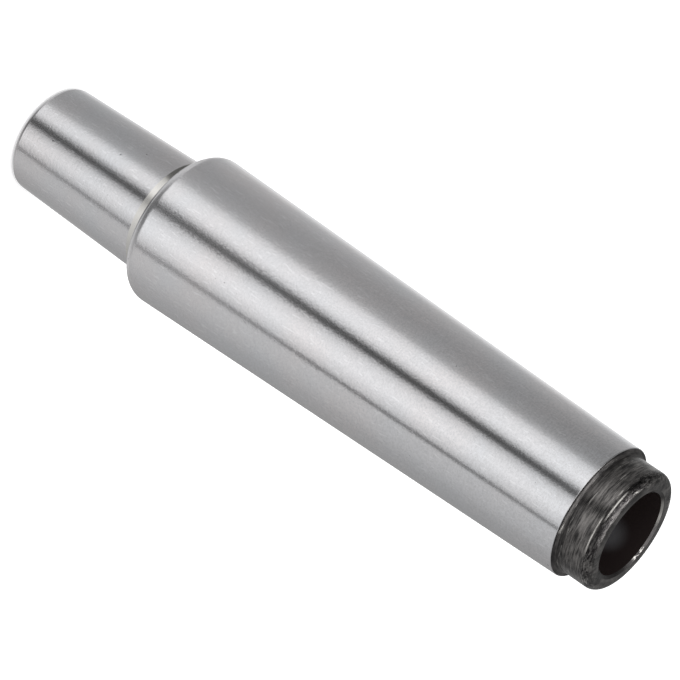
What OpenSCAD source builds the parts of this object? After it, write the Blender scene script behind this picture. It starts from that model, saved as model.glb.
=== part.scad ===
/* [Shank taper] */
// Diameter of the shank at its gauge plane
gauge_d = 23.825; // [22.5:0.005:26]
// The shank narrows by one part in this many
shank_ratio = 19.922; // [18:0.001:22]
// Gauge plane of the shank to the shoulder
collar_len = 5; // [3:0.5:8]
// Gauge plane of the shank to the sharp rim at its small end
cone_len = 73.2; // [65:0.2:80]
// Radius on the corner of the shoulder
shoulder_r = 2.1; // [0.4:0.1:2.4]

/* [Chuck taper] */
// Diameter of the chuck taper at its gauge plane
chuck_d = 17.78; // [16:0.005:18.5]
// Shoulder to the gauge plane of the chuck taper
chuck_gauge = 10; // [5:0.1:12]
// The chuck taper narrows by one part in this many
chuck_ratio = 20.02; // [18:0.001:22]
// Shoulder to the end face of the chuck taper
chuck_len = 26.4; // [22:0.1:40]
// Radius on the end of the chuck taper
chuck_end_r = 0.9; // [0.4:0.1:2.5]

/* [Undercut] */
// Width of the undercut that lets the grinding wheel run out beside the shoulder
undercut_w = 1.8; // [1.3:0.1:4]
// Depth of the undercut below the chuck taper
undercut_depth = 0.35; // [0.1:0.05:0.6]
// Slope of the flank that leads down into the undercut
undercut_flank = 25; // [15:1:60]
// Radius between the undercut and the shoulder
undercut_r = 0.5; // [0.2:0.1:1]

/* [Spigot] */
// Diameter of the spigot past the small end of the shank
spigot_d = 18.3; // [17.5:0.1:19.6]
// Length of the spigot, from the sharp rim to the end face
spigot_len = 5.6; // [4:0.1:8]
// Radius of the cove between the rim and the spigot
cove_r = 0.8; // [0.2:0.1:1.5]
// Radius on the end of the spigot
spigot_end_r = 1.25; // [0.3:0.05:1.5]

/* [Drawbar hole] */
// Diameter of the chamfer at the mouth
mouth_d = 13.9; // [13.2:0.1:14.4]
// Included angle of the chamfer at the mouth
mouth_angle = 120; // [60:5:140]
// Diameter of the plain bore that leads to the thread
relief_d = 13; // [12.4:0.1:13.8]
// Depth of the plain bore, from the end face
relief_depth = 9.5; // [5:0.5:14]
// Core diameter of the thread for the drawbar
core_d = 10.2; // [8.5:0.1:12]
// Depth of the core hole at its full diameter, from the end face
core_depth = 38; // [30:0.5:60]
// Included angle that the drill leaves at each step
drill_angle = 118; // [90:1:140]

/* [Centre hole] */
// Diameter of the centre hole at the chuck end's face
centre_d = 6.7; // [5:0.1:9]
// Included angle of the centre hole
centre_angle = 60; // [60, 90]
// Diameter of the pilot under the centre
pilot_d = 3.15; // [2:0.05:4]
// Depth of the pilot, from the end face
pilot_depth = 8; // [7:0.1:12]

/* [Hidden] */

GROUND_STEEL = [0.74, 0.74, 0.74];
BLACKENED_STEEL = [0.2, 0.19, 0.2];

// Steps round a full turn, and round a rounded corner
$fn = 96;
ARC_STEPS = 10;
// How far a cut runs out past the face that it opens
RUN_OUT = 1;
// How deep the spigot is rooted in the shank
ROOT = 2;
// Share of a short step that the cove in its corner may take
COVE_SHARE = 0.98;

// Heights, with the chuck end's face at zero and the spigot on top
shoulder_z = chuck_len;
chuck_gauge_z = shoulder_z - chuck_gauge;
undercut_z = shoulder_z - undercut_w;
gauge_z = shoulder_z + collar_len;
rim_z = gauge_z + cone_len;
top_z = rim_z + spigot_len;

// Radius of each taper at a height
function chuck_radius(z) = chuck_d / 2 + (z - chuck_gauge_z) / chuck_ratio / 2;
function shank_radius(z) = gauge_d / 2 - (z - gauge_z) / shank_ratio / 2;

shoulder_radius = shank_radius(shoulder_z);
rim_radius = shank_radius(rim_z);
spigot_radius = spigot_d / 2;
floor_radius = chuck_radius(undercut_z) - undercut_depth;
floor_z = undercut_z + undercut_depth / tan(undercut_flank);
cove = min(cove_r, COVE_SHARE * (rim_radius - spigot_radius));

// Height of a cone of this included angle between two diameters
function cone_height(d1, d2, angle) = abs(d1 - d2) / 2 / tan(angle / 2);

// Points of the arc of radius r that rounds the corner at b, on the way from a to c
function rounded_corner(a, b, c, r) =
    let (to_a = (a - b) / norm(a - b), to_c = (c - b) / norm(c - b))
    let (half = acos(to_a * to_c) / 2, bisector = (to_a + to_c) / norm(to_a + to_c))
    let (centre = b + bisector * r / sin(half))
    let (from_centre = b + to_a * r / tan(half) - centre)
    let (turn = sign(cross(a - b, c - b)) * (180 - 2 * half))
    [for (i = [0 : ARC_STEPS])
        let (t = -turn * i / ARC_STEPS)
        centre + [from_centre.x * cos(t) - from_centre.y * sin(t),
                  from_centre.x * sin(t) + from_centre.y * cos(t)]];

// A turned outline: each corner is [radius, height, rounding], and 0 leaves it sharp
function turned_outline(corners) =
    let (n = len(corners), p = [for (c = corners) [c.x, c.y]])
    [for (i = [0 : n - 1])
        each corners[i].z == 0
            ? [p[i]]
            : rounded_corner(p[(i + n - 1) % n], p[i], p[(i + 1) % n], corners[i].z)];

// Chuck taper, undercut, shoulder and shank taper, ground in one setting between centres
module ground_tapers() {
    color(GROUND_STEEL)
        rotate_extrude()
            polygon(turned_outline([
                [0, 0, 0],
                [chuck_radius(0), 0, chuck_end_r],
                [chuck_radius(undercut_z), undercut_z, 0],
                [floor_radius, floor_z, 0],
                [floor_radius, shoulder_z, undercut_r],
                [shoulder_radius, shoulder_z, shoulder_r],
                [rim_radius, rim_z, 0],
                [0, rim_z, 0]
            ]));
}

// Spigot at the drawbar end, turned only, with the cove that leaves the shank's rim sharp
module spigot() {
    color(BLACKENED_STEEL)
        rotate_extrude()
            polygon(turned_outline([
                [0, rim_z - ROOT, 0],
                [spigot_radius + cove, rim_z - ROOT, 0],
                [spigot_radius + cove, rim_z, 0],
                [spigot_radius, rim_z, cove],
                [spigot_radius, top_z, spigot_end_r],
                [0, top_z, 0]
            ]));
}

// Blind hole for the drawbar: mouth chamfer, plain bore and the core of the thread
module drawbar_hole() {
    mouth_h = cone_height(mouth_d, relief_d, mouth_angle);
    relief_z = top_z - relief_depth;
    core_z = top_z - core_depth;
    color(BLACKENED_STEEL)
        rotate_extrude()
            polygon([
                [0, top_z + RUN_OUT],
                [mouth_d / 2, top_z + RUN_OUT],
                [mouth_d / 2, top_z],
                [relief_d / 2, top_z - mouth_h],
                [relief_d / 2, relief_z],
                [core_d / 2, relief_z - cone_height(relief_d, core_d, drill_angle)],
                [core_d / 2, core_z],
                [0, core_z - cone_height(core_d, 0, drill_angle)]
            ]);
}

// Centre hole in the chuck end, on which the arbor was ground
module centre_hole() {
    cone_z = cone_height(centre_d, pilot_d, centre_angle);
    color(GROUND_STEEL)
        rotate_extrude()
            polygon([
                [0, -RUN_OUT],
                [centre_d / 2, -RUN_OUT],
                [centre_d / 2, 0],
                [pilot_d / 2, cone_z],
                [pilot_d / 2, pilot_depth],
                [0, pilot_depth + cone_height(pilot_d, 0, drill_angle)]
            ]);
}

module arbor() {
    difference() {
        union() {
            ground_tapers();
            spigot();
        }
        drawbar_hole();
        centre_hole();
    }
}

arbor();
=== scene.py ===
"""Drill chuck arbor: a ground steel taper shank with a short chuck taper below it.

The arbor stands on the end of its chuck taper, with the drawbar hole on top.
Every length is in metres; sizes are written in millimetres and multiplied by MM.
"""

import math

import bmesh
import bpy
from bpy.props import FloatProperty, FloatVectorProperty, IntProperty, PointerProperty
from bpy.types import Operator, Panel, PropertyGroup
from mathutils import Matrix


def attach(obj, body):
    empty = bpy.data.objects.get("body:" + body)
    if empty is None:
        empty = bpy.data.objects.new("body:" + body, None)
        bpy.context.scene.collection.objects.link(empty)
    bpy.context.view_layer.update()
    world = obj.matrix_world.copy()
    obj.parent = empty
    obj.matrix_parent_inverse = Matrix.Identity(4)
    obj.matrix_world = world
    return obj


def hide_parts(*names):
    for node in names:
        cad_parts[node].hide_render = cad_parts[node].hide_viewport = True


bl_info = {
    "name": "Drill Chuck Arbor",
    "version": (1, 0, 0),
    "blender": (4, 5, 0),
    "location": "View3D > Sidebar > Arbor",
    "description": "Models a taper shank arbor for a drill chuck, with its finishes and a stage",
    "category": "Add Mesh",
}

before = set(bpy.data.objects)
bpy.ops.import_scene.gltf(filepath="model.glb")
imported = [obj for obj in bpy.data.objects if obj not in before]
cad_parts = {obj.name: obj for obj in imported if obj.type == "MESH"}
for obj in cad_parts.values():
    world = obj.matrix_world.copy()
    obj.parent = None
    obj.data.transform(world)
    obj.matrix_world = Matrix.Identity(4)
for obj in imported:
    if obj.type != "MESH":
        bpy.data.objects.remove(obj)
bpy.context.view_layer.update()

MM = 0.001


# Values that the properties, the pieces and the materials share

def linear(hex_colour):
    """Turn an sRGB hex colour such as #C0C0C0 into Blender's linear red, green and blue."""
    channels = [int(hex_colour[i:i + 2], 16) / 255 for i in (1, 3, 5)]
    return [c / 12.92 if c <= 0.04045 else ((c + 0.055) / 1.055) ** 2.4 for c in channels]


def length(name, description, mm):
    """A length property whose default is given in millimetres."""
    return FloatProperty(
        name=name, description=description, default=mm * MM, min=0.0, precision=5,
        unit="LENGTH", subtype="DISTANCE",
    )


def turn(name, description, degrees):
    """An angle property whose default is given in degrees."""
    return FloatProperty(
        name=name, description=description, default=math.radians(degrees), subtype="ANGLE",
    )


def colour(name, description, hex_colour):
    """A colour property whose default is an sRGB hex colour."""
    return FloatVectorProperty(
        name=name, description=description, default=linear(hex_colour), size=3,
        min=0.0, max=1.0, subtype="COLOR",
    )


# Sizes and colours that a user would change

class ArborSizes(PropertyGroup):
    """Sizes of the arbor, the same as in its CAD source."""

    gauge_d: length("Gauge diameter", "Diameter of the shank at its gauge plane", 23.825)
    shank_ratio: FloatProperty(
        name="Shank taper 1 in", description="The shank narrows by one part in this many",
        default=19.922,
    )
    collar_len: length("Collar", "Gauge plane of the shank to the shoulder", 5.0)
    cone_len: length("Shank cone", "Gauge plane to the sharp rim at the small end", 73.2)
    shoulder_r: length("Shoulder radius", "Radius on the corner of the shoulder", 2.1)

    chuck_d: length("Chuck taper diameter", "Diameter of the chuck taper at its gauge plane", 17.78)
    chuck_gauge: length("Chuck taper gauge", "Shoulder to the gauge plane of the chuck taper", 10.0)
    chuck_ratio: FloatProperty(
        name="Chuck taper 1 in", description="The chuck taper narrows by one part in this many",
        default=20.02,
    )
    chuck_len: length("Chuck taper length", "Shoulder to the end face of the chuck taper", 26.4)
    chuck_end_r: length("Chuck end radius", "Radius on the end of the chuck taper", 0.9)

    undercut_w: length("Undercut width", "Width of the groove beside the shoulder", 1.8)
    undercut_depth: length("Undercut depth", "Depth of the groove below the chuck taper", 0.35)
    undercut_flank: turn("Undercut flank", "Slope of the flank that leads into the groove", 25.0)
    undercut_r: length("Undercut radius", "Radius between the groove and the shoulder", 0.5)

    spigot_d: length("Spigot diameter", "Diameter of the spigot past the small end", 18.3)
    spigot_len: length("Spigot length", "Sharp rim to the end face", 5.6)
    cove_r: length("Cove radius", "Radius of the cove between the rim and the spigot", 0.8)
    spigot_end_r: length("Spigot end radius", "Radius on the end of the spigot", 1.25)
    rim_break: length("Rim break", "Size to which a stone broke the sharp rim", 0.09)

    mouth_d: length("Mouth diameter", "Diameter of the chamfer at the mouth of the hole", 13.9)
    mouth_angle: turn("Mouth angle", "Included angle of the chamfer at the mouth", 120.0)
    relief_d: length("Plain bore diameter", "Diameter of the plain bore above the thread", 13.0)
    relief_depth: length("Plain bore depth", "Depth of the plain bore from the end face", 9.5)
    core_d: length("Thread core", "Core diameter of the thread for the drawbar", 10.2)
    core_depth: length("Core depth", "Depth of the core hole at its full diameter", 38.0)
    drill_angle: turn("Drill point", "Included angle that the drill leaves at each step", 118.0)
    thread_d: length("Thread diameter", "Outer diameter of the drawbar's thread", 12.0)
    thread_pitch: length("Thread pitch", "Distance from one turn of the thread to the next", 1.75)
    thread_len: length("Thread length", "Length of full thread below the plain bore", 22.75)

    centre_d: length("Centre diameter", "Diameter of the centre hole at the chuck end", 6.7)
    centre_angle: turn("Centre angle", "Included angle of the centre hole", 60.0)
    pilot_d: length("Pilot diameter", "Diameter of the pilot under the centre", 3.15)
    pilot_depth: length("Pilot depth", "Depth of the pilot from the end face", 8.0)

    segments: IntProperty(
        name="Segments", description="Steps round a full turn", default=192, min=24,
    )
    bevel_steps: IntProperty(
        name="Bevel steps", description="Steps across a rounded corner", default=10, min=2,
    )


class ArborFinishes(PropertyGroup):
    """Colours of the arbor's steel as each step of its making left it, and of the light painted on
    it.
    """

    ground_cool: colour("Ground steel, cool", "Both tapers where the surface is clean", "#E6E7EA")
    ground_warm: colour("Ground steel, warm", "Both tapers where coolant dried on them", "#EAE7E8")
    ground_grain: colour("Ground steel, grain", "Bottoms of the grit's scratches", "#DADADC")
    ground_pit: colour("Ground steel, pits", "Pits that the wheel left here and there", "#7C7C80")
    ground_scratch: colour("Ground steel, scratches", "Short bright scratches", "#FAFAFC")
    turned: colour("Turned steel", "Undercut and chuck end, turned before hardening", "#EEECE8")
    blackened: colour("Blackened steel", "Spigot, black from hardening", "#3E3D3D")
    thin_scale: colour("Thin scale", "Spigot where the black scale is thin", "#84817F")
    thick_scale: colour("Thick scale", "Cove and pits, where the black scale is thick", "#242223")
    # Also the colour of the painted highlights on the corner and on the mouth's chamfer
    wear_and_highlight: colour("Worn edges", "Edges and tool marks that handling wore bright", "#DAD7D2")
    bore: colour("Blackened bore", "Inside of the drawbar hole, black and a little red", "#342B2A")
    # A painted glow: grey on the bore's far wall, standing in for light reflected there
    bore_painted_glow: colour("Oil film", "Grey smear of dried oil inside the drawbar hole", "#77777A")


class ArborStage(PropertyGroup):
    """Floor, lamps and camera round the arbor."""

    floor: colour("Floor", "Colour of the plain floor", "#F4F4F4")
    floor_size: length("Floor size", "Side of the square floor", 6000.0)
    lamp_power: FloatProperty(
        name="Lamp power", description="Power of the soft lamp overhead", default=6.0,
        unit="POWER",
    )
    daylight: FloatProperty(
        name="Daylight", description="Strength of the even light from all round", default=0.7,
        min=0.0,
    )
    lens: FloatProperty(
        name="Lens", description="Focal length on a 36 mm wide sensor, in millimetres",
        default=163.66,
    )


# Outline of the arbor, worked out from its sizes as in the CAD source

def cone_height(d1, d2, angle):
    """Height of a cone of this included angle between two diameters."""
    return abs(d1 - d2) / 2 / math.tan(angle / 2)


def outline(s):
    """The corners of the turned outline by name, each a radius and a height."""
    shoulder_z = s.chuck_len
    gauge_z = shoulder_z + s.collar_len
    rim_z = gauge_z + s.cone_len
    top_z = rim_z + s.spigot_len
    undercut_z = shoulder_z - s.undercut_w

    def chuck_radius(z):
        return s.chuck_d / 2 + (z - shoulder_z + s.chuck_gauge) / s.chuck_ratio / 2

    def shank_radius(z):
        return s.gauge_d / 2 - (z - gauge_z) / s.shank_ratio / 2

    floor_r = chuck_radius(undercut_z) - s.undercut_depth
    floor_z = undercut_z + s.undercut_depth / math.tan(s.undercut_flank)
    relief_z = top_z - s.relief_depth
    core_top_z = relief_z - cone_height(s.relief_d, s.core_d, s.drill_angle)
    core_z = top_z - s.core_depth
    return {
        "foot": (chuck_radius(0), 0.0),
        "undercut edge": (chuck_radius(undercut_z), undercut_z),
        "undercut floor": (floor_r, floor_z),
        "undercut root": (floor_r, shoulder_z),
        "shoulder": (shank_radius(shoulder_z), shoulder_z),
        "rim": (shank_radius(rim_z), rim_z),
        "cove": (s.spigot_d / 2, rim_z),
        "spigot end": (s.spigot_d / 2, top_z),
        "mouth": (s.mouth_d / 2, top_z),
        "bore": (s.relief_d / 2, top_z - cone_height(s.mouth_d, s.relief_d, s.mouth_angle)),
        "bore end": (s.relief_d / 2, relief_z),
        "core top": (s.core_d / 2, core_top_z),
        "core end": (s.core_d / 2, core_z),
        "core tip": (0.0, core_z - cone_height(s.core_d, 0, s.drill_angle)),
        "centre": (s.centre_d / 2, 0.0),
        "pilot": (s.pilot_d / 2, cone_height(s.centre_d, s.pilot_d, s.centre_angle)),
        "pilot end": (s.pilot_d / 2, s.pilot_depth),
        "pilot tip": (0.0, s.pilot_depth + cone_height(s.pilot_d, 0, s.drill_angle)),
    }


# The corners through which the first cone's two end caps are extruded, up and down
UPWARD = [
    "undercut edge", "undercut floor", "undercut root", "shoulder", "rim", "cove", "spigot end",
    "mouth", "bore", "bore end", "core top", "core end", "core tip",
]
DOWNWARD = ["foot", "centre", "pilot", "pilot end", "pilot tip"]
# A corner that is broken by less than the size takes this few steps
SMALL_BREAK = 0.1 * MM
SMALL_BREAK_STEPS = 2

# The thread is ISO metric: its flanks lean by 30 degrees, and it has a flat of an eighth of its
# pitch at its outer diameter
THREAD_FLANK = math.radians(30)
THREAD_FLAT = 1 / 8
# How far the tap reaches inside the core, so that it cuts clean through the wall
TAP_OVERLAP = 0.2 * MM

# Places closer than this are the same place, and vertices closer than the next are one vertex
TOUCHING = 1e-6
DOUBLE = 1e-7
# Least part of its normal that a flat cap, and the flat of the shoulder, has along Z
FLAT_CAP = 0.99
FLAT_SHOULDER = 0.9
# Faces that meet at more than this keep a sharp edge between them
SHARP_ANGLE = math.radians(20)


# Modelling tools

def deselect_all():
    """Leave edit mode and deselect every object, so that an operator acts on its own piece."""
    if bpy.context.mode != "OBJECT":
        bpy.ops.object.mode_set(mode="OBJECT")
    bpy.ops.object.select_all(action="DESELECT")


def name_active(name):
    """Name the active object and its mesh, and return the object."""
    obj = bpy.context.active_object
    obj.name = name
    obj.data.name = name
    return obj


def select_cap(obj, height, up):
    """Select the flat cap at a height whose face looks up or down."""
    bpy.ops.mesh.select_all(action="DESELECT")
    mesh = bmesh.from_edit_mesh(obj.data)
    for face in mesh.faces:
        level = abs(face.calc_center_median().z - height) < TOUCHING
        outwards = face.normal.z if up else -face.normal.z
        face.select_set(level and outwards > FLAT_CAP)
    bmesh.update_edit_mesh(obj.data)


def select_loop(obj, radius, height):
    """Select the edges that run round the arbor at this radius and height."""
    bpy.ops.mesh.select_all(action="DESELECT")
    mesh = bmesh.from_edit_mesh(obj.data)

    def on_loop(vert):
        away = math.hypot(vert.co.x, vert.co.y) - radius
        return abs(vert.co.z - height) < TOUCHING and abs(away) < TOUCHING

    for edge in mesh.edges:
        edge.select_set(on_loop(edge.verts[0]) and on_loop(edge.verts[1]))
    bmesh.update_edit_mesh(obj.data)


def extrude_through(stations):
    """Extrude the selected cap from station to station, each a radius and a height."""
    for (r0, z0), (r1, z1) in zip(stations, stations[1:]):
        bpy.ops.mesh.extrude_region_move(TRANSFORM_OT_translate={"value": (0, 0, z1 - z0)})
        if r1 == 0:
            bpy.ops.mesh.merge(type="CENTER")
        elif r1 != r0:
            bpy.ops.transform.resize(value=(r1 / r0, r1 / r0, 1), center_override=(0, 0, z1))


def round_corner(obj, before, corner, after, radius, steps):
    """Bevel a corner's loop to a radius, from the corners before and after it on the outline."""
    sides = [math.atan2(place[1] - corner[1], place[0] - corner[0]) for place in (before, after)]
    angle = abs(sides[0] - sides[1])
    angle = min(angle, math.tau - angle)
    select_loop(obj, *corner)
    bpy.ops.mesh.bevel(
        offset_type="OFFSET", offset=radius / math.tan(angle / 2), segments=steps, profile=0.5,
        affect="EDGES",
    )


def clean_shell():
    """Merge doubles and turn every face outwards, in edit mode."""
    bpy.ops.mesh.select_all(action="SELECT")
    bpy.ops.mesh.remove_doubles(threshold=DOUBLE)
    bpy.ops.mesh.normals_make_consistent(inside=False)


def turned_shell(s, corners):
    """The arbor's closed shell without its thread: a cone, extruded both ways and rounded."""
    foot_r = corners["foot"][0]
    edge_r, edge_z = corners["undercut edge"]
    bpy.ops.mesh.primitive_cone_add(
        vertices=s.segments, radius1=foot_r, radius2=edge_r, depth=edge_z,
        end_fill_type="NGON", location=(0, 0, edge_z / 2),
    )
    arbor = name_active("turned_arbor")
    bpy.ops.object.transform_apply()
    bpy.ops.object.mode_set(mode="EDIT")
    bpy.ops.mesh.select_mode(type="FACE")
    select_cap(arbor, edge_z, up=True)
    extrude_through([corners[name] for name in UPWARD])
    select_cap(arbor, 0.0, up=False)
    extrude_through([corners[name] for name in DOWNWARD])
    bpy.ops.mesh.select_mode(type="EDGE")
    for name, before, after, radius in (
        ("foot", "centre", "undercut edge", s.chuck_end_r),
        ("undercut root", "undercut floor", "shoulder", s.undercut_r),
        ("shoulder", "undercut root", "rim", s.shoulder_r),
        ("cove", "rim", "spigot end", s.cove_r),
        ("rim", "shoulder", "cove", s.rim_break),
        ("spigot end", "cove", "mouth", s.spigot_end_r),
    ):
        steps = s.bevel_steps if radius > SMALL_BREAK else SMALL_BREAK_STEPS
        round_corner(arbor, corners[before], corners[name], corners[after], radius, steps)
    clean_shell()
    bpy.ops.object.mode_set(mode="OBJECT")
    return arbor


def thread_tap(s, corners):
    """The tap: a trapezoid swept up the hole by a screw, with both of its ends capped."""
    inner_r = s.core_d / 2 - TAP_OVERLAP
    depth = s.thread_d / 2 - inner_r
    outer_half = s.thread_pitch * THREAD_FLAT / 2
    inner_half = outer_half + depth * math.tan(THREAD_FLANK)
    middle_r = inner_r + depth / 2
    bottom = corners["core top"][1] - s.thread_len
    bpy.ops.mesh.primitive_plane_add(
        size=1, location=(middle_r, 0, bottom), rotation=(math.pi / 2, 0, 0),
    )
    tap = name_active("thread_tap")
    tap.scale = (depth, 2 * inner_half, 1)
    bpy.ops.object.transform_apply()
    bpy.ops.object.mode_set(mode="EDIT")
    bpy.ops.mesh.select_all(action="DESELECT")
    mesh = bmesh.from_edit_mesh(tap.data)
    for vert in mesh.verts:
        vert.select_set(vert.co.x > middle_r)
    mesh.select_flush(True)
    bmesh.update_edit_mesh(tap.data)
    bpy.ops.transform.resize(
        value=(1, 1, outer_half / inner_half), center_override=(s.thread_d / 2, 0, bottom),
    )
    bpy.ops.object.mode_set(mode="OBJECT")
    screw = tap.modifiers.new("Screw", "SCREW")
    screw.axis = "Z"
    screw.angle = math.tau
    screw.screw_offset = s.thread_pitch
    # One turn more than the length of full thread, which runs out in the plain bore
    screw.iterations = math.ceil(s.thread_len / s.thread_pitch) + 1
    screw.steps = screw.render_steps = s.segments // 2
    bpy.ops.object.modifier_apply(modifier=screw.name)
    bpy.ops.object.mode_set(mode="EDIT")
    bpy.ops.mesh.select_all(action="SELECT")
    bpy.ops.mesh.fill_holes(sides=4)
    clean_shell()
    bpy.ops.object.mode_set(mode="OBJECT")
    return tap


def cut_thread(arbor, tap):
    """Cut the tap's turns into the drawbar hole, and take the tap away."""
    deselect_all()
    arbor.select_set(True)
    bpy.context.view_layer.objects.active = arbor
    cut = arbor.modifiers.new("Thread", "BOOLEAN")
    cut.operation = "DIFFERENCE"
    cut.solver = "EXACT"
    cut.object = tap
    uncut = len(arbor.data.polygons)
    bpy.ops.object.modifier_apply(modifier=cut.name)
    if len(arbor.data.polygons) <= uncut:
        raise RuntimeError("The thread was not cut into the drawbar hole")
    bpy.data.meshes.remove(tap.data)
    bpy.ops.object.mode_set(mode="EDIT")
    clean_shell()
    bpy.ops.object.mode_set(mode="OBJECT")


def smooth_shading(arbor):
    """Shade the active arbor smooth between its sharp edges, by the size of its faces."""
    bpy.ops.object.shade_smooth_by_angle(angle=SHARP_ANGLE)
    weighted = arbor.modifiers.new("Weighted Normal", "WEIGHTED_NORMAL")
    weighted.keep_sharp = True
    bpy.ops.object.modifier_apply(modifier=weighted.name)


def paint_zones(arbor, corners, materials):
    """Give each face the finish that its place on the arbor has."""
    for material in materials:
        arbor.data.materials.append(material)
    ground, turned, blackened, bore = range(len(materials))
    edge_r, edge_z = corners["undercut edge"]
    hole_r, hole_z = corners["bore"][0], corners["core tip"][1]
    centre_r, pilot_z = corners["centre"][0], corners["pilot tip"][1]
    for face in arbor.data.polygons:
        x, y, z = face.center
        radius = math.hypot(x, y)
        in_hole = z > hole_z - TOUCHING and radius < hole_r + TOUCHING
        in_centre = z < pilot_z + TOUCHING and radius < centre_r + TOUCHING
        in_undercut = edge_z < z < corners["shoulder"][1] + TOUCHING and (
            radius < edge_r or face.normal.z < -FLAT_SHOULDER
        )
        if in_hole:
            face.material_index = bore
        elif in_centre or in_undercut or z < TOUCHING:
            face.material_index = turned
        elif z > corners["rim"][1] - TOUCHING:
            face.material_index = blackened
        else:
            face.material_index = ground


# Material nodes

def add_node(tree, kind, settings=None, inputs=None):
    """Add a node, set its settings, and give its inputs values or link them to nodes' outputs."""
    node = tree.nodes.new(kind)
    for name, value in (settings or {}).items():
        setattr(node, name, value)
    for key, value in (inputs or {}).items():
        if isinstance(value, bpy.types.NodeSocket):
            tree.links.new(value, node.inputs[key])
        else:
            node.inputs[key].default_value = value
    return node


def new_material(name):
    """A new material and its node tree, still empty."""
    material = bpy.data.materials.new(name)
    material.use_nodes = True
    material.node_tree.nodes.clear()
    return material, material.node_tree


def finish_material(tree, surface):
    """Link a shader to the material's output."""
    add_node(tree, "ShaderNodeOutputMaterial", inputs={"Surface": surface})


def rings_round_axis(tree, coords, spacing, stretch, detail=2.0):
    """Noise in rings round the axis, this far apart, drawn out along each ring by the stretch."""
    across = 1 / spacing / stretch
    squeezed = add_node(tree, "ShaderNodeMapping", inputs={
        "Vector": coords, "Scale": (across, across, 1 / spacing),
    })
    return add_node(tree, "ShaderNodeTexNoise", inputs={
        "Vector": squeezed.outputs["Vector"], "Scale": 1.0, "Detail": detail, "Roughness": 0.6,
    }).outputs["Fac"]


def on_patch(tree, coords, radius, height, patch):
    """1 in the middle of a patch on the arbor, fading to 0 at its edge, at a radius and height.

    The patch is its bearing in degrees from the camera's side, positive towards -X, and the
    distances from its middle at which it starts and stops to fade.
    """
    degrees, inner, outer = patch
    bearing = math.radians(degrees)
    middle = (-radius * math.sin(bearing), -radius * math.cos(bearing), height)
    away = add_node(tree, "ShaderNodeVectorMath", {"operation": "DISTANCE"}, {0: coords, 1: middle})
    return add_node(tree, "ShaderNodeMapRange", {"interpolation_type": "SMOOTHSTEP"}, {
        "Value": away.outputs["Value"], "From Min": inner, "From Max": outer,
        "To Min": 1.0, "To Max": 0.0,
    }).outputs["Result"]


# Heights over which the ground finish changes between the shoulder and the rim
WHEEL_SETTLES = (30 * MM, 70 * MM)
GRAIN_GROWS = (40 * MM, 100 * MM)
CHATTER_FADES = (60 * MM, 85 * MM)
# The same for the haze, measured from the shoulder
HAZE_STARTS = (-1 * MM, 2 * MM)
HAZE_FADES = (20 * MM, 60 * MM)


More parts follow.
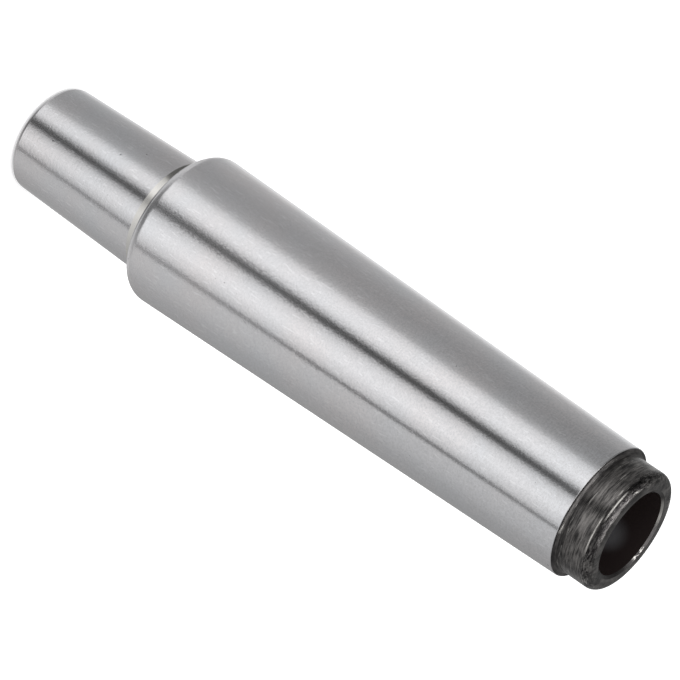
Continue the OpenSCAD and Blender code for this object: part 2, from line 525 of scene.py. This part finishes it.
def ground_steel(finishes, corners):
    """Hardened steel, cylindrically ground: satin, with faint lines round it and a fine grain."""
    material, tree = new_material("Ground hardened steel")
    coords = add_node(tree, "ShaderNodeTexCoord").outputs["Object"]
    height = add_node(tree, "ShaderNodeSeparateXYZ", inputs={"Vector": coords}).outputs["Z"]
    shoulder_z = corners["shoulder"][1]

    # Wheel lines run round the axis. Real ones are 0.03 mm apart; 0.25 mm is as fine as shows.
    lines = rings_round_axis(tree, coords, 0.25 * MM, stretch=3)
    # The grit leaves a grain of 0.05 mm, drawn at 0.3 mm
    grain = add_node(tree, "ShaderNodeTexNoise", inputs={
        "Vector": coords, "Scale": 1 / (0.3 * MM), "Detail": 2.0, "Roughness": 0.6,
    })
    texture = add_node(tree, "ShaderNodeMix", {"data_type": "FLOAT"}, {
        0: 0.65, 2: lines, 3: grain.outputs["Fac"],
    }).outputs[0]
    fine_bump = add_node(tree, "ShaderNodeBump", inputs={
        "Strength": 0.6, "Distance": 0.015 * MM, "Height": texture,
    })
    # The work shook under the wheel, most near the shoulder: reflections have ragged edges there
    chatter = rings_round_axis(tree, coords, 0.4 * MM, stretch=2)
    chatter_strength = add_node(tree, "ShaderNodeMapRange", inputs={
        "Value": height, "From Min": CHATTER_FADES[0], "From Max": CHATTER_FADES[1],
        "To Min": 1.0, "To Max": 0.4,
    })
    bump = add_node(tree, "ShaderNodeBump", inputs={
        "Strength": chatter_strength.outputs["Result"], "Distance": 0.016 * MM, "Height": chatter,
        "Normal": fine_bump.outputs["Normal"],
    })

    # Faint warm and cool patches where the coolant dried, 12 mm across
    patches = add_node(tree, "ShaderNodeTexNoise", inputs={
        "Vector": coords, "Scale": 1 / (12 * MM), "Detail": 2.0, "Roughness": 0.6,
    })
    warmth = add_node(tree, "ShaderNodeMapRange", inputs={
        "Value": patches.outputs["Fac"], "From Min": 0.35, "From Max": 0.65,
    }).outputs["Result"]
    # The grain is plainer towards the small end
    plainness = add_node(tree, "ShaderNodeMapRange", inputs={
        "Value": height, "From Min": GRAIN_GROWS[0], "From Max": GRAIN_GROWS[1],
        "To Min": 0.5, "To Max": 1.2,
    })
    grained = add_node(tree, "ShaderNodeMapRange", inputs={
        "Value": texture, "From Min": 0.42, "From Max": 0.66,
        "To Max": plainness.outputs["Result"],
    }).outputs["Result"]
    # A few pits, 0.1 mm across, drawn at 0.25 mm: only the peaks of this noise are pits
    pit_places = add_node(tree, "ShaderNodeTexNoise", inputs={
        "Vector": coords, "Scale": 1 / (0.6 * MM), "Detail": 0.0, "Roughness": 0.6,
    })
    pits = add_node(tree, "ShaderNodeMapRange", inputs={
        "Value": pit_places.outputs["Fac"], "From Min": 0.88, "From Max": 0.9,
    }).outputs["Result"]
    # Handling left short fine scratches, 0.03 mm wide, drawn at 0.3 mm, all leaning one way
    scratch_lean = add_node(tree, "ShaderNodeMapping", inputs={
        "Vector": coords, "Rotation": (0.5, 0.3, 0.0),
        "Scale": (1 / (0.3 * MM), 1 / (0.3 * MM), 1 / (1.5 * MM)),
    })
    scratch_places = add_node(tree, "ShaderNodeTexNoise", inputs={
        "Vector": scratch_lean.outputs["Vector"], "Scale": 1.0, "Detail": 1.0,
    })
    scratches = add_node(tree, "ShaderNodeMapRange", inputs={
        "Value": scratch_places.outputs["Fac"], "From Min": 0.62, "From Max": 0.72, "To Max": 0.45,
    }).outputs["Result"]
    surface_colour = (*finishes.ground_cool, 1)
    for share, finish in (
        (warmth, finishes.ground_warm), (grained, finishes.ground_grain),
        (pits, finishes.ground_pit), (scratches, finishes.ground_scratch),
    ):
        surface_colour = add_node(tree, "ShaderNodeMix", {"data_type": "RGBA"}, {
            0: share, 6: surface_colour, 7: (*finish, 1),
        }).outputs[2]

    # The wheel left the steel duller near the shoulder, where it ran in
    rough = add_node(tree, "ShaderNodeMapRange", inputs={
        "Value": height, "From Min": WHEEL_SETTLES[0], "From Max": WHEEL_SETTLES[1],
        "To Min": 0.19, "To Max": 0.138,
    })
    # A thin haze of dried coolant above the shoulder scatters a little light into dark reflections
    above_shoulder = add_node(tree, "ShaderNodeMapRange", inputs={
        "Value": height, "From Min": shoulder_z + HAZE_STARTS[0],
        "From Max": shoulder_z + HAZE_STARTS[1], "To Max": 0.035,
    })
    fading_upwards = add_node(tree, "ShaderNodeMapRange", inputs={
        "Value": height, "From Min": shoulder_z + HAZE_FADES[0],
        "From Max": shoulder_z + HAZE_FADES[1], "To Min": 1.0, "To Max": 0.0,
    })
    haze = add_node(tree, "ShaderNodeMath", {"operation": "MULTIPLY"}, {
        0: above_shoulder.outputs["Result"], 1: fading_upwards.outputs["Result"],
    })
    bare = add_node(tree, "ShaderNodeMath", {"operation": "SUBTRACT"}, {
        0: 1.0, 1: haze.outputs["Value"],
    })
    shader = add_node(tree, "ShaderNodeBsdfPrincipled", inputs={
        "Base Color": surface_colour, "Metallic": bare.outputs["Value"],
        "Roughness": rough.outputs["Result"], "Normal": bump.outputs["Normal"],
    })
    finish_material(tree, shader.outputs["BSDF"])
    return material


def turned_steel(finishes):
    """Steel left as turned, with a warm film from hardening: duller than the ground tapers."""
    material, tree = new_material("Turned steel")
    coords = add_node(tree, "ShaderNodeTexCoord").outputs["Object"]
    # The tool's feed was about 0.15 mm a turn, drawn at 0.2 mm
    grooves = rings_round_axis(tree, coords, 0.2 * MM, stretch=16)
    bump = add_node(tree, "ShaderNodeBump", inputs={
        "Strength": 0.3, "Distance": 0.03 * MM, "Height": grooves,
    })
    # The film is duller in patches 2 mm across
    patches = add_node(tree, "ShaderNodeTexNoise", inputs={
        "Vector": coords, "Scale": 1 / (2 * MM), "Detail": 3.0,
    })
    rough = add_node(tree, "ShaderNodeMapRange", inputs={
        "Value": patches.outputs["Fac"], "To Min": 0.16, "To Max": 0.26,
    })
    shader = add_node(tree, "ShaderNodeBsdfPrincipled", inputs={
        "Base Color": (*finishes.turned, 1), "Metallic": 1.0,
        "Roughness": rough.outputs["Result"], "Normal": bump.outputs["Normal"],
    })
    finish_material(tree, shader.outputs["BSDF"])
    return material


# Patches at the drawbar end, each a bearing and the distances at which it starts and stops to fade
CORNER_FRONT = (8, 3.5 * MM, 8 * MM)
# A painted highlight along the crease where the spigot's corner starts
CREASE_HIGHLIGHT = (-17, 1.6 * MM, 3.4 * MM)
FAR_LINE = (13, 1.4 * MM, 3.0 * MM)
# Wear on the mouth's chamfer, brightened further as a painted highlight
MOUTH_WEAR_AND_HIGHLIGHT = (132, 0.8 * MM, 3.2 * MM)
# Painted glints on the mouth's chamfer
MOUTH_GLINTS = (-167, 0.5 * MM, 1.7 * MM)
# A grey glow painted on the bore's far wall
PAINTED_BORE_GLOW = (-165, 0.5 * MM, 3.4 * MM)
# Depth of the painted glow below the mouth's chamfer
BORE_GLOW_DEPTH = 5 * MM


def highlight_and_wear_line(tree, height, line_z, patch, breaks):
    """A thin bright line round the axis at a height, kept to a patch and broken up by a noise; it
    draws a line of wear and also a painted highlight.
    """
    above = add_node(tree, "ShaderNodeMath", {"operation": "SUBTRACT"}, {0: height, 1: line_z})
    away = add_node(tree, "ShaderNodeMath", {"operation": "ABSOLUTE"}, {0: above.outputs["Value"]})
    wear_and_highlight = add_node(tree, "ShaderNodeMapRange", inputs={
        "Value": away.outputs["Value"], "From Min": 0.04 * MM, "From Max": 0.14 * MM,
        "To Min": 1.0, "To Max": 0.0,
    }).outputs["Result"]
    for limit in (patch, breaks):
        wear_and_highlight = add_node(tree, "ShaderNodeMath", {"operation": "MULTIPLY"}, {
            0: wear_and_highlight, 1: limit,
        }).outputs["Value"]
    return wear_and_highlight


def blackened_steel(finishes, corners, sizes):
    """Turned steel, black from hardening: tool marks run round it, its corner and mouth have wear
    and painted highlights.
    """
    material, tree = new_material("Blackened turned steel")
    coords = add_node(tree, "ShaderNodeTexCoord").outputs["Object"]
    height = add_node(tree, "ShaderNodeSeparateXYZ", inputs={"Vector": coords}).outputs["Z"]
    across = add_node(tree, "ShaderNodeVectorMath", {"operation": "MULTIPLY"}, {
        0: coords, 1: (1, 1, 0),
    })
    from_axis = add_node(tree, "ShaderNodeVectorMath", {"operation": "LENGTH"}, {
        0: across.outputs["Vector"],
    }).outputs["Value"]
    radius, top_z = corners["spigot end"]
    mouth_radius = corners["mouth"][0]
    rim_z = corners["rim"][1]
    corner_z = top_z - sizes.spigot_end_r

    # The tool's feed, drawn at 0.2 mm a turn so that it shows
    feed = rings_round_axis(tree, coords, 0.2 * MM, stretch=12, detail=3.0)
    # Furnace scale left the spigot's corner rough, with pits 0.2 mm wide drawn out round the axis
    pits = rings_round_axis(tree, coords, 0.22 * MM, stretch=3, detail=3.0)
    # Scale came off unevenly, in smudges 1.2 mm high and twice as long
    smudges = rings_round_axis(tree, coords, 1.2 * MM, stretch=2, detail=4.0)

    # The corner, from the mouth's chamfer out and down to the spigot's side
    on_corner = add_node(tree, "ShaderNodeMapRange", inputs={
        "Value": from_axis, "From Min": mouth_radius + 0.05 * MM,
        "From Max": mouth_radius + 0.7 * MM,
    }).outputs["Result"]
    for start, end, share_below, share_above in (
        (corner_z - 0.35 * MM, corner_z + 0.1 * MM, 0.0, 1.0),
        (top_z - 0.25 * MM, top_z - 0.02 * MM, 1.0, 0.6),
    ):
        step = add_node(tree, "ShaderNodeMapRange", inputs={
            "Value": height, "From Min": start, "From Max": end,
            "To Min": share_below, "To Max": share_above,
        })
        on_corner = add_node(tree, "ShaderNodeMath", {"operation": "MULTIPLY"}, {
            0: on_corner, 1: step.outputs["Result"],
        }).outputs["Value"]
    marks = add_node(tree, "ShaderNodeBump", inputs={
        "Strength": 1.0, "Distance": 0.02 * MM, "Height": feed,
    })
    bump = add_node(tree, "ShaderNodeBump", inputs={
        "Strength": on_corner, "Distance": 0.08 * MM, "Height": pits,
        "Normal": marks.outputs["Normal"],
    })

    # The scale is thin in streaks
    streaks = add_node(tree, "ShaderNodeMix", {"data_type": "FLOAT"}, {0: 0.6, 2: smudges, 3: feed})
    thin_scale = add_node(tree, "ShaderNodeMapRange", inputs={
        "Value": streaks.outputs[0], "From Min": 0.42, "From Max": 0.6,
    }).outputs["Result"]
    # It is thickest in the cove, on the mouth's chamfer, and in the pits and front of the corner
    in_cove = add_node(tree, "ShaderNodeMapRange", inputs={
        "Value": height, "From Min": rim_z + 0.5 * MM, "From Max": rim_z + 2.2 * MM,
        "To Min": 0.55, "To Max": 0.0,
    }).outputs["Result"]
    in_mouth = add_node(tree, "ShaderNodeMapRange", inputs={
        "Value": from_axis, "From Min": mouth_radius - 0.02 * MM,
        "From Max": mouth_radius + 0.04 * MM, "To Min": 0.85, "To Max": 0.0,
    }).outputs["Result"]
    in_pits = add_node(tree, "ShaderNodeMapRange", inputs={
        "Value": pits, "From Min": 0.41, "From Max": 0.54, "To Min": 1.0, "To Max": 0.0,
    }).outputs["Result"]
    between_pits = add_node(tree, "ShaderNodeMapRange", inputs={
        "Value": pits, "From Min": 0.55, "From Max": 0.66, "To Max": 0.1,
    }).outputs["Result"]
    in_front = on_patch(tree, coords, radius, corner_z, CORNER_FRONT)
    in_pits, between_pits, in_front = (
        add_node(tree, "ShaderNodeMath", {"operation": "MULTIPLY"}, {
            0: share, 1: on_corner,
        }).outputs["Value"]
        for share in (in_pits, between_pits, in_front)
    )
    in_front = add_node(tree, "ShaderNodeMath", {"operation": "MULTIPLY"}, {
        0: in_front, 1: 0.75,
    }).outputs["Value"]
    thick_scale = in_cove
    for share in (in_mouth, in_pits, in_front):
        thick_scale = add_node(tree, "ShaderNodeMath", {"operation": "MAXIMUM"}, {
            0: thick_scale, 1: share,
        }).outputs["Value"]

    # A painted highlight along the crease where the corner starts, a thin bright line of wear above
    # it, and single tool marks beside them
    breaks = add_node(tree, "ShaderNodeMapRange", inputs={
        "Value": smudges, "From Min": 0.3, "From Max": 0.42,
    }).outputs["Result"]
    crease_highlight_patch = on_patch(tree, coords, radius, corner_z, CREASE_HIGHLIGHT)
    crease_highlight = highlight_and_wear_line(tree, height, corner_z - 0.05 * MM, crease_highlight_patch, breaks)
    far_patch = on_patch(tree, coords, radius, corner_z, FAR_LINE)
    far_line = highlight_and_wear_line(tree, height, corner_z + 0.4 * MM, far_patch, breaks)
    scratches = add_node(tree, "ShaderNodeMapRange", inputs={
        "Value": rings_round_axis(tree, coords, 0.3 * MM, stretch=12),
        "From Min": 0.63, "From Max": 0.68, "To Max": 0.7,
    })
    scratches = add_node(tree, "ShaderNodeMath", {"operation": "MULTIPLY"}, {
        0: scratches.outputs["Result"], 1: thin_scale,
    }).outputs["Value"]
    # The chamfer of the mouth has wear with a painted highlight on one side, and painted glints on
    # the other
    glint_specks = add_node(tree, "ShaderNodeMapRange", inputs={
        "Value": pits, "From Min": 0.5, "From Max": 0.6,
    })
    mouth_glints = add_node(tree, "ShaderNodeMath", {"operation": "MULTIPLY"}, {
        0: glint_specks.outputs["Result"], 1: on_patch(tree, coords, mouth_radius, top_z, MOUTH_GLINTS),
    })
    mouth_wear_and_glints = add_node(tree, "ShaderNodeMath", {"operation": "MAXIMUM"}, {
        0: on_patch(tree, coords, mouth_radius, top_z, MOUTH_WEAR_AND_HIGHLIGHT), 1: mouth_glints.outputs["Value"],
    })
    below_top = add_node(tree, "ShaderNodeMapRange", inputs={
        "Value": height, "From Min": top_z - 0.06 * MM, "From Max": top_z - 0.02 * MM,
        "To Min": 0.6, "To Max": 0.0,
    })
    mouth_edge_wear_and_glints = add_node(tree, "ShaderNodeMath", {"operation": "MULTIPLY"}, {
        0: mouth_wear_and_glints.outputs["Value"], 1: below_top.outputs["Result"],
    }).outputs["Value"]
    # Wear and the painted highlights together, in one bright colour
    wear_and_highlight = scratches
    for share in (crease_highlight, far_line, mouth_edge_wear_and_glints, between_pits):
        wear_and_highlight = add_node(tree, "ShaderNodeMath", {"operation": "MAXIMUM"}, {
            0: wear_and_highlight, 1: share,
        }).outputs["Value"]

    surface_colour = (*finishes.blackened, 1)
    for share, finish in (
        (thin_scale, finishes.thin_scale), (thick_scale, finishes.thick_scale),
        (wear_and_highlight, finishes.wear_and_highlight),
    ):
        surface_colour = add_node(tree, "ShaderNodeMix", {"data_type": "RGBA"}, {
            0: share, 6: surface_colour, 7: (*finish, 1),
        }).outputs[2]
    smudge_rough = add_node(tree, "ShaderNodeMapRange", inputs={
        "Value": smudges, "From Min": 0.3, "From Max": 0.7, "To Min": 0.3, "To Max": 0.2,
    })
    # The thick scale in the cove is matt
    cove_rough = add_node(tree, "ShaderNodeMath", {"operation": "MULTIPLY"}, {0: in_cove, 1: 0.8})
    rough = add_node(tree, "ShaderNodeMath", {"operation": "MAXIMUM"}, {
        0: smudge_rough.outputs["Result"], 1: cove_rough.outputs["Value"],
    })
    shader = add_node(tree, "ShaderNodeBsdfPrincipled", inputs={
        "Base Color": surface_colour, "Metallic": 0.95, "Roughness": rough.outputs["Value"],
        "Normal": bump.outputs["Normal"],
    })
    finish_material(tree, shader.outputs["BSDF"])
    return material


def blackened_bore(finishes, corners):
    """Drilled steel, black from hardening: dull, a little red, with a grey glow painted on its
    wall.
    """
    material, tree = new_material("Blackened bore")
    coords = add_node(tree, "ShaderNodeTexCoord").outputs["Object"]
    # The drill's feed of 0.25 mm a turn
    grooves = rings_round_axis(tree, coords, 0.25 * MM, stretch=16)
    bump = add_node(tree, "ShaderNodeBump", inputs={
        "Strength": 0.2, "Distance": 0.03 * MM, "Height": grooves,
    })
    radius, bore_z = corners["bore"]
    # The grey patch is painted light: a glow on the far wall of the bore
    surface_colour = add_node(tree, "ShaderNodeMix", {"data_type": "RGBA"}, {
        0: on_patch(tree, coords, radius, bore_z - BORE_GLOW_DEPTH, PAINTED_BORE_GLOW),
        6: (*finishes.bore, 1), 7: (*finishes.bore_painted_glow, 1),
    })
    shader = add_node(tree, "ShaderNodeBsdfPrincipled", inputs={
        "Base Color": surface_colour.outputs[2], "Metallic": 0.5, "Roughness": 0.4,
        "Normal": bump.outputs["Normal"],
    })
    finish_material(tree, shader.outputs["BSDF"])
    return material


def seen_directly(tree):
    """1 for rays that show the background: from the camera, by reflection or through glass."""
    path = add_node(tree, "ShaderNodeLightPath")
    seen = path.outputs["Is Camera Ray"]
    for name in ("Is Glossy Ray", "Is Transmission Ray"):
        seen = add_node(tree, "ShaderNodeMath", {"operation": "MAXIMUM"}, {
            0: seen, 1: path.outputs[name],
        }).outputs["Value"]
    return seen


# Glow that lifts the lit floor to white where it is seen
FLOOR_LIFT = 0.37


def floor_paper(stage):
    """White paper: it takes the arbor's shadow, and is lifted to white where it is seen."""
    material, tree = new_material("White floor paper")
    lift = add_node(tree, "ShaderNodeMath", {"operation": "MULTIPLY"}, {
        0: seen_directly(tree), 1: FLOOR_LIFT,
    })
    shader = add_node(tree, "ShaderNodeBsdfPrincipled", inputs={
        "Base Color": (*stage.floor, 1), "Roughness": 1.0, "Specular IOR Level": 0.0,
        "Emission Color": (1, 1, 1, 1), "Emission Strength": lift.outputs["Value"],
    })
    finish_material(tree, shader.outputs["BSDF"])
    return material


# Light levels of the tent by bearing, in degrees from the camera's side, positive towards -X.
# An upright surface shows the level at twice its own bearing.
SIDE_LEVELS = [
    (-180, 0.5), (-172, 0.32), (-144, 0.35), (-114, 0.41), (-86, 0.54), (-61, 0.61),
    (-58.6, 0.08), (-56.4, 0.04), (-54, 0.54), (-48, 0.73), (-40, 0.85), (-32, 0.99), (-27, 1.0),
    (-18, 0.94), (-9, 0.78), (-3.8, 0.56), (0.5, 0.06), (7.2, 0.04), (11.4, 0.46), (16, 0.77),
    (24, 0.98), (35, 0.97), (44, 0.85), (49, 0.7), (54, 0.45), (66, 0.36), (84, 0.32),
    (104, 0.35), (136, 0.47), (160, 0.85), (172, 0.95), (180, 0.5),
]
# The foot of the tent's sides, which the chuck end shows, is a little duller and its gap is wider
FOOT_LEVELS = [
    (-180, 0.5), (-144, 0.38), (-114, 0.44), (-86, 0.55), (-61, 0.57), (-58.6, 0.08),
    (-56.4, 0.04), (-54, 0.45), (-48, 0.65), (-40, 0.77), (-32, 0.9), (-25, 0.91), (-17, 0.84),
    (-9, 0.68), (-3.4, 0.46), (0.9, 0.05), (11, 0.04), (16, 0.4), (21, 0.72), (27, 0.92),
    (36, 0.93), (45, 0.86), (50, 0.7), (56, 0.46), (68, 0.38), (86, 0.34), (106, 0.36),
    (136, 0.45), (160, 0.8), (172, 0.9), (180, 0.5),
]
UPPER_LEVELS = [
    (-180, 0.25), (-120, 0.36), (-80, 0.48), (-66, 0.56), (-50, 0.6), (-36, 0.72), (-21, 0.84),
    (-8, 0.6), (2, 0.3), (9, 0.33), (16, 0.85), (22, 1.0), (28, 1.0), (36, 0.85), (48, 0.72),
    (54, 0.58), (60, 0.12), (100, 0.1), (118, 0.3), (180, 0.25),
]
TOP_LEVELS = [(-180, 0.85), (180, 0.85)]
LOWER_LEVELS = [
    (-180, 0.5), (-130, 0.6), (-95, 0.5), (-60, 0.34), (-35, 0.21), (5, 0.15), (30, 0.22),
    (45, 0.35), (60, 0.5), (90, 0.6), (130, 0.6), (180, 0.5),
]
# Each zone's levels, and the heights in degrees above the horizon over which it takes over
ZONES = (
    (UPPER_LEVELS, -20, -6),
    (TOP_LEVELS, 50, 65),
    (FOOT_LEVELS, -29.5, -32.5),
    (LOWER_LEVELS, -38, -47),
)


def level_ramp(tree, levels, angle):
    """A colour ramp that gives the tent's level at each bearing, from an angle in radians."""
    bearing = add_node(tree, "ShaderNodeMapRange", inputs={
        "Value": angle, "From Min": -math.pi, "From Max": math.pi,
    })
    ramp = add_node(tree, "ShaderNodeValToRGB", inputs={"Fac": bearing.outputs["Result"]})
    stops = ramp.color_ramp.elements
    for degrees, _ in levels[1:-1]:
        stops.new(degrees / 360 + 0.5)
    for stop, (degrees, level) in zip(stops, levels):
        stop.position = degrees / 360 + 0.5
        stop.color = (level, level, level, 1)
    return ramp.outputs["Color"]


def tent_cloth():
    """Light tent: bright panels with a dark gap for the lens, grey sides and a dark floor ahead."""
    material, tree = new_material("Light tent cloth")
    coords = add_node(tree, "ShaderNodeTexCoord").outputs["Object"]
    outwards = add_node(tree, "ShaderNodeVectorMath", {"operation": "NORMALIZE"}, {0: coords})
    ray = add_node(tree, "ShaderNodeSeparateXYZ", inputs={"Vector": outwards.outputs["Vector"]})
    ahead, aside = (
        add_node(tree, "ShaderNodeMath", {"operation": "MULTIPLY"}, {
            0: ray.outputs[axis], 1: -1.0,
        }).outputs["Value"]
        for axis in ("Y", "X")
    )
    angle = add_node(tree, "ShaderNodeMath", {"operation": "ARCTAN2"}, {
        0: aside, 1: ahead,
    }).outputs["Value"]
    level = level_ramp(tree, SIDE_LEVELS, angle)
    for levels, start, end in ZONES:
        share = add_node(tree, "ShaderNodeMapRange", {"interpolation_type": "SMOOTHSTEP"}, {
            "Value": ray.outputs["Z"],
            "From Min": math.sin(math.radians(start)), "From Max": math.sin(math.radians(end)),
        })
        level = add_node(tree, "ShaderNodeMix", {"data_type": "RGBA"}, {
            0: share.outputs["Result"], 6: level, 7: level_ramp(tree, levels, angle),
        }).outputs[2]
    glow = add_node(tree, "ShaderNodeEmission", inputs={"Color": level, "Strength": 1.0})
    finish_material(tree, glow.outputs["Emission"])
    return material


# Stage

# In metres: the tent's radius, where the lamp hangs and the side of its square
TENT_RADIUS = 2.5
LAMP_PLACE = (-0.15, -0.1, 0.9)
LAMP_SIZE = 0.8
# The camera that took the photo, worked out from its perspective. It looks down by 26.6 degrees,
# and its roll lays the arbor across the picture.
CAMERA_PLACE = (0, -386.47 * MM, 251.6 * MM)
CAMERA_PAN = math.radians(-0.084)
CAMERA_TILT = math.radians(90 - 26.574)
CAMERA_ROLL = math.radians(124.46)
# In millimetres, as Blender takes it
SENSOR_WIDTH = 36


def lay_floor(stage):
    """A square of floor paper. Reflections show the lower part of the light tent in its place."""
    bpy.ops.mesh.primitive_plane_add(size=stage.floor_size)
    floor = name_active("floor")
    floor.data.materials.append(floor_paper(stage))
    floor.visible_glossy = False


def put_up_tent():
    """The light tent, a sphere that only reflections show."""
    bpy.ops.mesh.primitive_uv_sphere_add(segments=64, ring_count=32, radius=TENT_RADIUS)
    tent = name_active("light_tent")
    tent.data.materials.append(tent_cloth())
    tent.visible_camera = False
    tent.visible_diffuse = False
    tent.visible_transmission = False
    tent.visible_shadow = False


def even_light(stage):
    """The world: even daylight from all round, and plain white where it is seen."""
    world = bpy.data.worlds.new("Even white studio")
    world.use_nodes = True
    tree = world.node_tree
    tree.nodes.clear()
    level = add_node(tree, "ShaderNodeMix", {"data_type": "FLOAT"}, {
        0: seen_directly(tree), 2: stage.daylight, 3: 1.0,
    })
    sky = add_node(tree, "ShaderNodeBackground", inputs={
        "Color": (1, 1, 1, 1), "Strength": level.outputs[0],
    })
    add_node(tree, "ShaderNodeOutputWorld", inputs={"Surface": sky.outputs["Background"]})
    return world


# Operators

class ARBOR_OT_turned_arbor(Operator):
    """Model the arbor, cut its thread and give it its finishes"""

    bl_idname = "arbor.turned_arbor"
    bl_label = "Turned Arbor"

    def execute(self, context):
        sizes = context.scene.arbor_sizes
        finishes = context.scene.arbor_finishes
        corners = outline(sizes)
        deselect_all()
        arbor = turned_shell(sizes, corners)
        deselect_all()
        tap = thread_tap(sizes, corners)
        cut_thread(arbor, tap)
        smooth_shading(arbor)
        paint_zones(arbor, corners, [
            ground_steel(finishes, corners),
            turned_steel(finishes),
            blackened_steel(finishes, corners, sizes),
            blackened_bore(finishes, corners),
        ])
        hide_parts("arbor")
        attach(arbor, "root")
        return {"FINISHED"}


class ARBOR_OT_studio(Operator):
    """Lay the floor, put up the light tent, hang the lamp and place the camera"""

    bl_idname = "arbor.studio"
    bl_label = "Studio"

    def execute(self, context):
        scene = context.scene
        stage = scene.arbor_stage
        deselect_all()
        lay_floor(stage)
        deselect_all()
        put_up_tent()

        deselect_all()
        bpy.ops.object.light_add(type="AREA", location=LAMP_PLACE)
        lamp = context.active_object
        lamp.name = "soft_lamp"
        lamp.data.energy = stage.lamp_power
        lamp.data.size = LAMP_SIZE
        scene.world = even_light(stage)

        bpy.ops.object.camera_add(location=CAMERA_PLACE)
        camera = name_active("studio_camera")
        camera.data.lens = stage.lens
        camera.data.sensor_width = SENSOR_WIDTH
        camera.rotation_euler = (
            Matrix.Rotation(CAMERA_PAN, 3, "Z")
            @ Matrix.Rotation(CAMERA_TILT, 3, "X")
            @ Matrix.Rotation(CAMERA_ROLL, 3, "Z")
        ).to_euler()
        scene.camera = camera
        scene.view_settings.view_transform = "Standard"
        return {"FINISHED"}


class ARBOR_PT_sidebar(Panel):
    """Buttons and settings of the arbor, in the sidebar of the 3D view"""

    bl_idname = "ARBOR_PT_sidebar"
    bl_label = "Drill Chuck Arbor"
    bl_space_type = "VIEW_3D"
    bl_region_type = "UI"
    bl_category = "Arbor"

    def draw(self, context):
        layout = self.layout
        for operator in (ARBOR_OT_turned_arbor, ARBOR_OT_studio):
            layout.operator(operator.bl_idname)
        scene = context.scene
        for group in (scene.arbor_sizes, scene.arbor_finishes, scene.arbor_stage):
            box = layout.box()
            for name in group.__annotations__:
                box.prop(group, name)


CLASSES = (
    ArborSizes, ArborFinishes, ArborStage, ARBOR_OT_turned_arbor, ARBOR_OT_studio, ARBOR_PT_sidebar,
)


def register():
    for cls in CLASSES:
        bpy.utils.register_class(cls)
    bpy.types.Scene.arbor_sizes = PointerProperty(type=ArborSizes)
    bpy.types.Scene.arbor_finishes = PointerProperty(type=ArborFinishes)
    bpy.types.Scene.arbor_stage = PointerProperty(type=ArborStage)


def unregister():
    del bpy.types.Scene.arbor_stage
    del bpy.types.Scene.arbor_finishes
    del bpy.types.Scene.arbor_sizes
    for cls in reversed(CLASSES):
        bpy.utils.unregister_class(cls)


def main():
    register()
    bpy.ops.arbor.turned_arbor()
    bpy.ops.arbor.studio()


if __name__ == "__main__":
    main()
